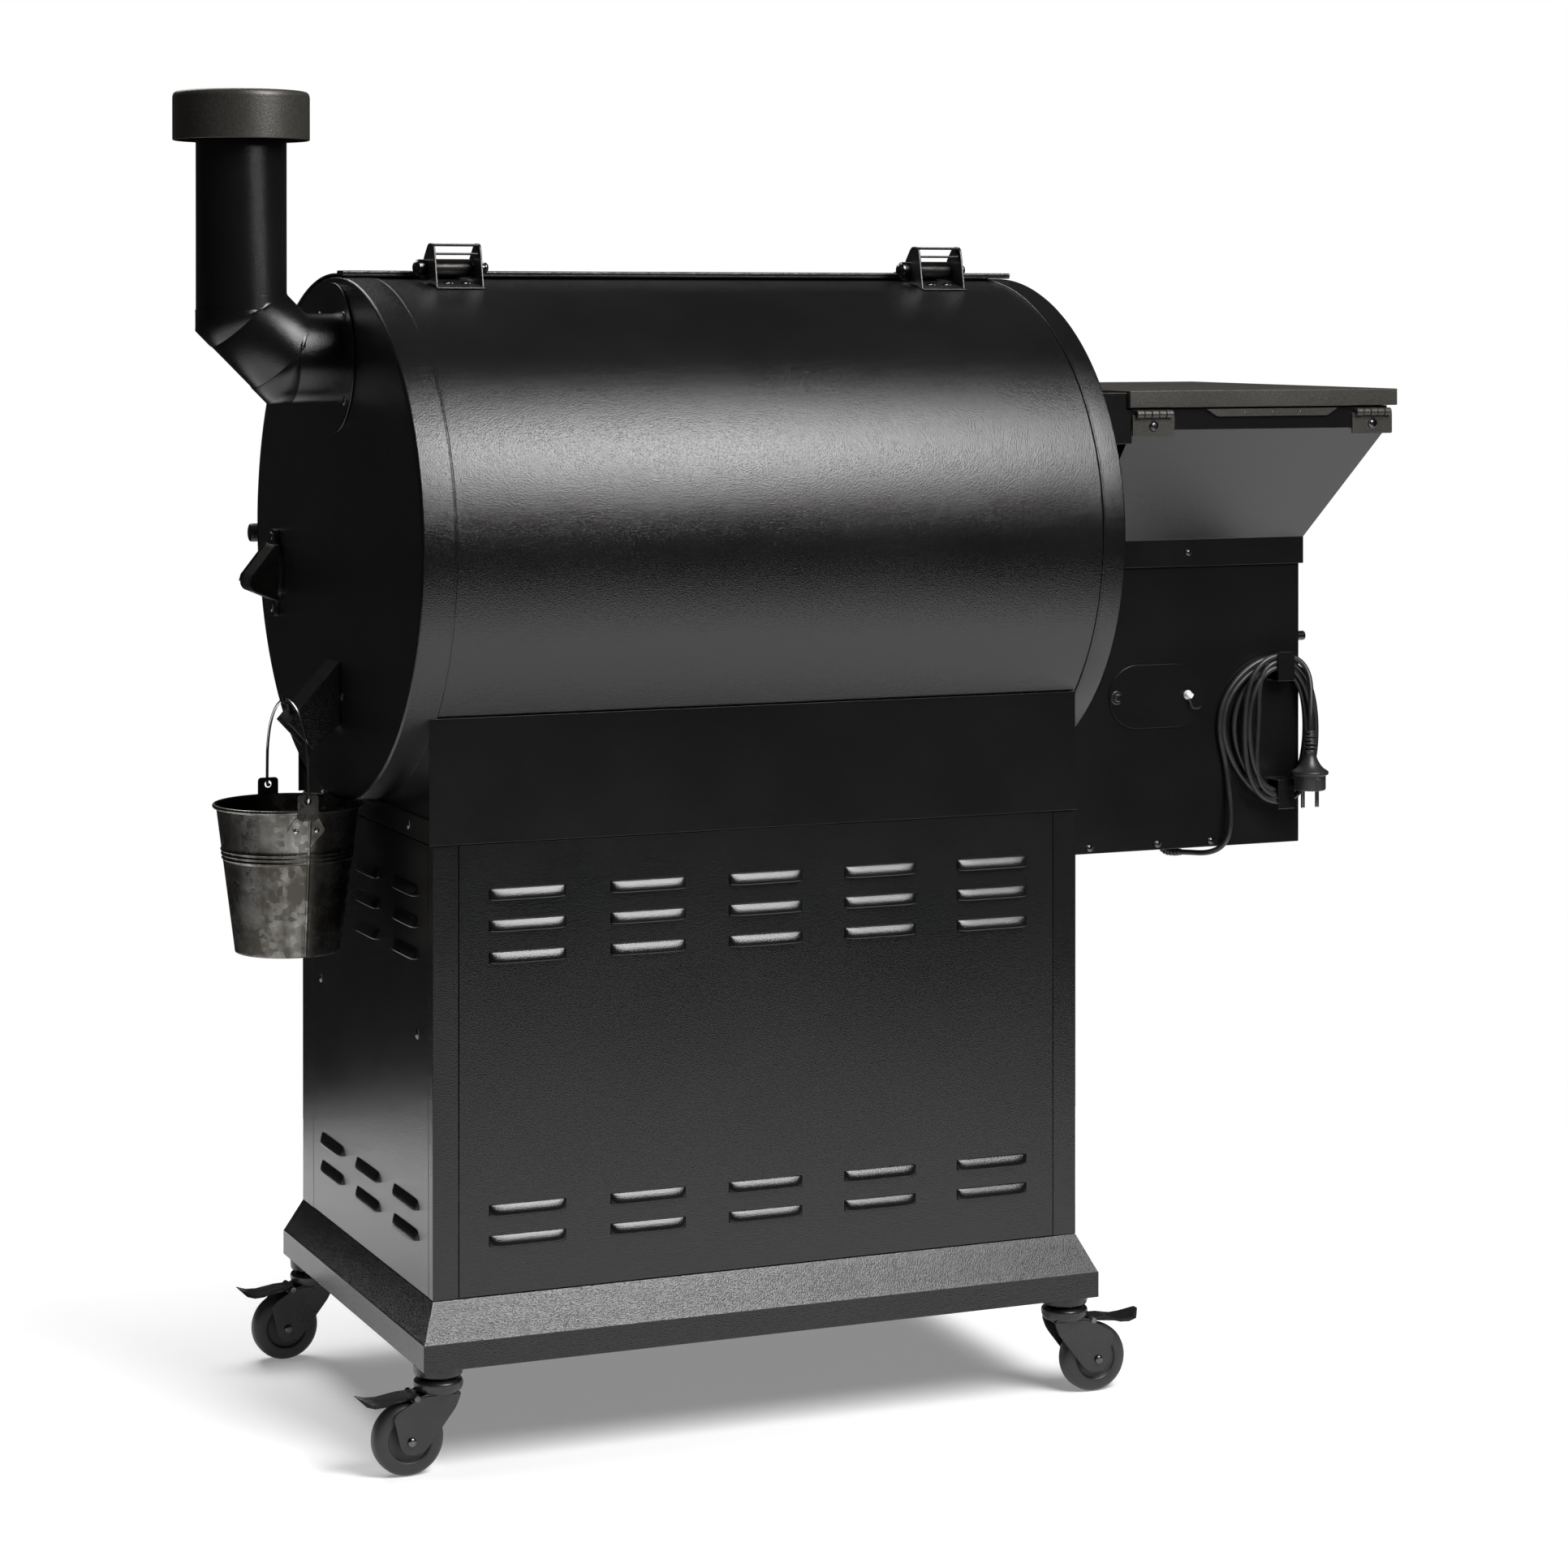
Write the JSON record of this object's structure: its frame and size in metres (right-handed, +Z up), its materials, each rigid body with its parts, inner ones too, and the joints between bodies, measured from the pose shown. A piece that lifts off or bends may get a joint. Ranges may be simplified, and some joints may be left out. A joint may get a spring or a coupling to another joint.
{
  "type": "pellet smoker grill",
  "caption": "Wood-pellet smoker grill: oval drum with hinged lid on a louvred caster cart, side pellet hopper, elbow chimney and hanging grease bucket.",
  "frame": {"origin": "on the floor, under the middle of the whole grill's outline, cord left out", "axes": "+Z up, +X towards the chimney, -Y towards the front where the cook stands"},
  "size_m": [1.378, 0.7139, 1.4475],
  "materials": {
    "black_coat": "semi-gloss textured powder coat",
    "bronze_coat": "satin metallic powder coat",
    "gunmetal": "satin gunmetal",
    "zinc": "galvanised",
    "steel": "satin",
    "enamel": "porcelain enamel",
    "plastic": "matte",
    "rubber_cord": "matte"
  },
  "bodies": {
    "cart": {"auger_motor": "steel", "auger_tube": "steel", "base_skirt": "black_coat", "bottle_opener": "gunmetal", "cabinet_floor": "black_coat", "chimney_pipe": "black_coat", "combustion_fan": "black_coat", "control_panel": "black_coat", "cord_coil": "rubber_cord", "cord_gland": "plastic", "cradle_frame": "black_coat", "drum_body": "black_coat", "fire_pot": "steel", "grease_chute": "black_coat", "grease_tray": "steel", "heat_baffle": "steel", "hopper_base": "black_coat", "hopper_bin": "black_coat", "left_end_cap": "black_coat", "left_front_post": "black_coat", "left_lid_hinge": "gunmetal", "left_rear_post": "black_coat", "left_side_panel": "black_coat", "power_cord": "rubber_cord", "power_plug": "plastic", "rear_panel": "black_coat", "right_end_cap": "black_coat", "right_front_post": "black_coat", "right_lid_hinge": "gunmetal", "right_rear_post": "black_coat", "right_side_panel": "black_coat"},
    "drum_lid": {"drum_lid": "black_coat", "lid_handle": "gunmetal", "lid_thermometer": "steel"},
    "hopper_lid": {"hopper_lid": "bronze_coat"},
    "left_door": {"left_door": "black_coat"},
    "right_door": {"right_door": "black_coat"},
    "chimney_cap": {"chimney_cap": "bronze_coat"},
    "bail": {"bucket_bail": "steel"},
    "bucket": {"grease_bucket": "zinc"},
    "cleanout_cover": {"cleanout_cover": "black_coat"},
    "knob": {"control_knob": "gunmetal"},
    "auger": {"auger_screw": "steel"},
    "fan": {"fan_wheel": "zinc"},
    "left_grate": {"left_cooking_grate": "enamel"},
    "right_grate": {"right_cooking_grate": "enamel"},
    "rack": {"upper_rack": "steel"},
    "front_left_swivel": {"front_left_caster_fork": "gunmetal"},
    "front_left_wheel": {"front_left_caster_wheel": "plastic"},
    "front_left_brake": {"front_left_caster_pedal": "gunmetal"},
    "front_right_swivel": {"front_right_caster_fork": "gunmetal"},
    "front_right_wheel": {"front_right_caster_wheel": "plastic"},
    "front_right_brake": {"front_right_caster_pedal": "gunmetal"},
    "rear_left_swivel": {"rear_left_caster_fork": "gunmetal"},
    "rear_left_wheel": {"rear_left_caster_wheel": "plastic"},
    "rear_left_brake": {"rear_left_caster_pedal": "gunmetal"},
    "rear_right_swivel": {"rear_right_caster_fork": "gunmetal"},
    "rear_right_wheel": {"rear_right_caster_wheel": "plastic"},
    "rear_right_brake": {"rear_right_caster_pedal": "gunmetal"}
  },
  "joints": [
    {"name": "lid_swing", "type": "hinge", "parent": "cart", "child": "drum_lid", "pos_m": [0.103, 0.0909, 1.257], "axis": [-1, 0, 0], "range_deg": [0, 75]},
    {"name": "hopper_lid_swing", "type": "hinge", "parent": "cart", "child": "hopper_lid", "pos_m": [-0.514, 0.2914, 1.0965], "axis": [-1, 0, 0], "range_deg": [0, 95]},
    {"name": "left_door_swing", "type": "hinge", "parent": "cart", "child": "left_door", "pos_m": [-0.2515, -0.2136, 0.183], "axis": [0, 0, -1], "range_deg": [0, 110]},
    {"name": "right_door_swing", "type": "hinge", "parent": "cart", "child": "right_door", "pos_m": [0.4575, -0.2136, 0.183], "axis": [0, 0, 1], "range_deg": [0, 110]},
    {"name": "chimney_cap_lift", "type": "slide", "parent": "cart", "child": "chimney_cap", "axis": [0, 0, 1], "range_m": [-0.012, 0.02]},
    {"name": "bail_swing", "type": "hinge", "parent": "cart", "child": "bail", "pos_m": [0.5636, 0.0359, 0.7845], "axis": [0, -1, 0], "range_deg": [0, 20]},
    {"name": "bucket_swing", "type": "hinge", "parent": "bail", "child": "bucket", "pos_m": [0.5636, 0.0359, 0.684], "axis": [0, -1, 0], "range_deg": [0, 12]},
    {"name": "cleanout_swing", "type": "hinge", "parent": "cart", "child": "cleanout_cover", "pos_m": [-0.387, 0.1659, 0.762], "axis": [0, -1, 0], "range_deg": [-80, 0]},
    {"name": "knob_turn", "type": "hinge", "parent": "cart", "child": "knob", "pos_m": [-0.417, -0.2073, 0.834], "axis": [0, -1, 0], "range_deg": [-135, 135]},
    {"name": "auger_spin", "type": "hinge", "parent": "cart", "child": "auger", "pos_m": [-0.557, 0.0359, 0.735], "axis": [1, 0, 0], "continuous": true},
    {"name": "fan_spin", "type": "hinge", "parent": "cart", "child": "fan", "pos_m": [-0.454, 0.0359, 0.64], "axis": [1, 0, 0], "continuous": true},
    {"name": "left_grate_lift", "type": "slide", "parent": "cart", "child": "left_grate", "axis": [0, 0, 1], "range_m": [0, 0.08]},
    {"name": "right_grate_lift", "type": "slide", "parent": "cart", "child": "right_grate", "axis": [0, 0, 1], "range_m": [0, 0.08]},
    {"name": "rack_lift", "type": "slide", "parent": "cart", "child": "rack", "axis": [0, 0, 1], "range_m": [0, 0.05]},
    {"name": "front_left_caster_swivel", "type": "hinge", "parent": "cart", "child": "front_left_swivel", "pos_m": [-0.263, -0.1991, 0.09], "axis": [0, 0, 1], "continuous": true},
    {"name": "front_left_wheel_roll", "type": "hinge", "parent": "front_left_swivel", "child": "front_left_wheel", "pos_m": [-0.297, -0.1991, 0.038], "axis": [0, 1, 0], "continuous": true},
    {"name": "front_left_brake_press", "type": "hinge", "parent": "front_left_swivel", "child": "front_left_brake", "pos_m": [-0.291, -0.1991, 0.082], "axis": [0, -1, 0], "range_deg": [0, 8], "stiffness_Nm_per_rad": 0.6, "springref_deg": -8.59},
    {"name": "front_right_caster_swivel", "type": "hinge", "parent": "cart", "child": "front_right_swivel", "pos_m": [0.469, -0.1991, 0.09], "axis": [0, 0, 1], "continuous": true},
    {"name": "front_right_wheel_roll", "type": "hinge", "parent": "front_right_swivel", "child": "front_right_wheel", "pos_m": [0.503, -0.1991, 0.038], "axis": [0, 1, 0], "continuous": true},
    {"name": "front_right_brake_press", "type": "hinge", "parent": "front_right_swivel", "child": "front_right_brake", "pos_m": [0.497, -0.1991, 0.082], "axis": [0, 1, 0], "range_deg": [0, 8], "stiffness_Nm_per_rad": 0.6, "springref_deg": -8.59},
    {"name": "rear_left_caster_swivel", "type": "hinge", "parent": "cart", "child": "rear_left_swivel", "pos_m": [-0.263, 0.2769, 0.09], "axis": [0, 0, 1], "continuous": true},
    {"name": "rear_left_wheel_roll", "type": "hinge", "parent": "rear_left_swivel", "child": "rear_left_wheel", "pos_m": [-0.297, 0.2769, 0.038], "axis": [0, 1, 0], "continuous": true},
    {"name": "rear_left_brake_press", "type": "hinge", "parent": "rear_left_swivel", "child": "rear_left_brake", "pos_m": [-0.291, 0.2769, 0.082], "axis": [0, -1, 0], "range_deg": [0, 8], "stiffness_Nm_per_rad": 0.6, "springref_deg": -8.59},
    {"name": "rear_right_caster_swivel", "type": "hinge", "parent": "cart", "child": "rear_right_swivel", "pos_m": [0.469, 0.2769, 0.09], "axis": [0, 0, 1], "continuous": true},
    {"name": "rear_right_wheel_roll", "type": "hinge", "parent": "rear_right_swivel", "child": "rear_right_wheel", "pos_m": [0.503, 0.2769, 0.038], "axis": [0, 1, 0], "continuous": true},
    {"name": "rear_right_brake_press", "type": "hinge", "parent": "rear_right_swivel", "child": "rear_right_brake", "pos_m": [0.497, 0.2769, 0.082], "axis": [0, 1, 0], "range_deg": [0, 8], "stiffness_Nm_per_rad": 0.6, "springref_deg": -8.59}
  ]
}
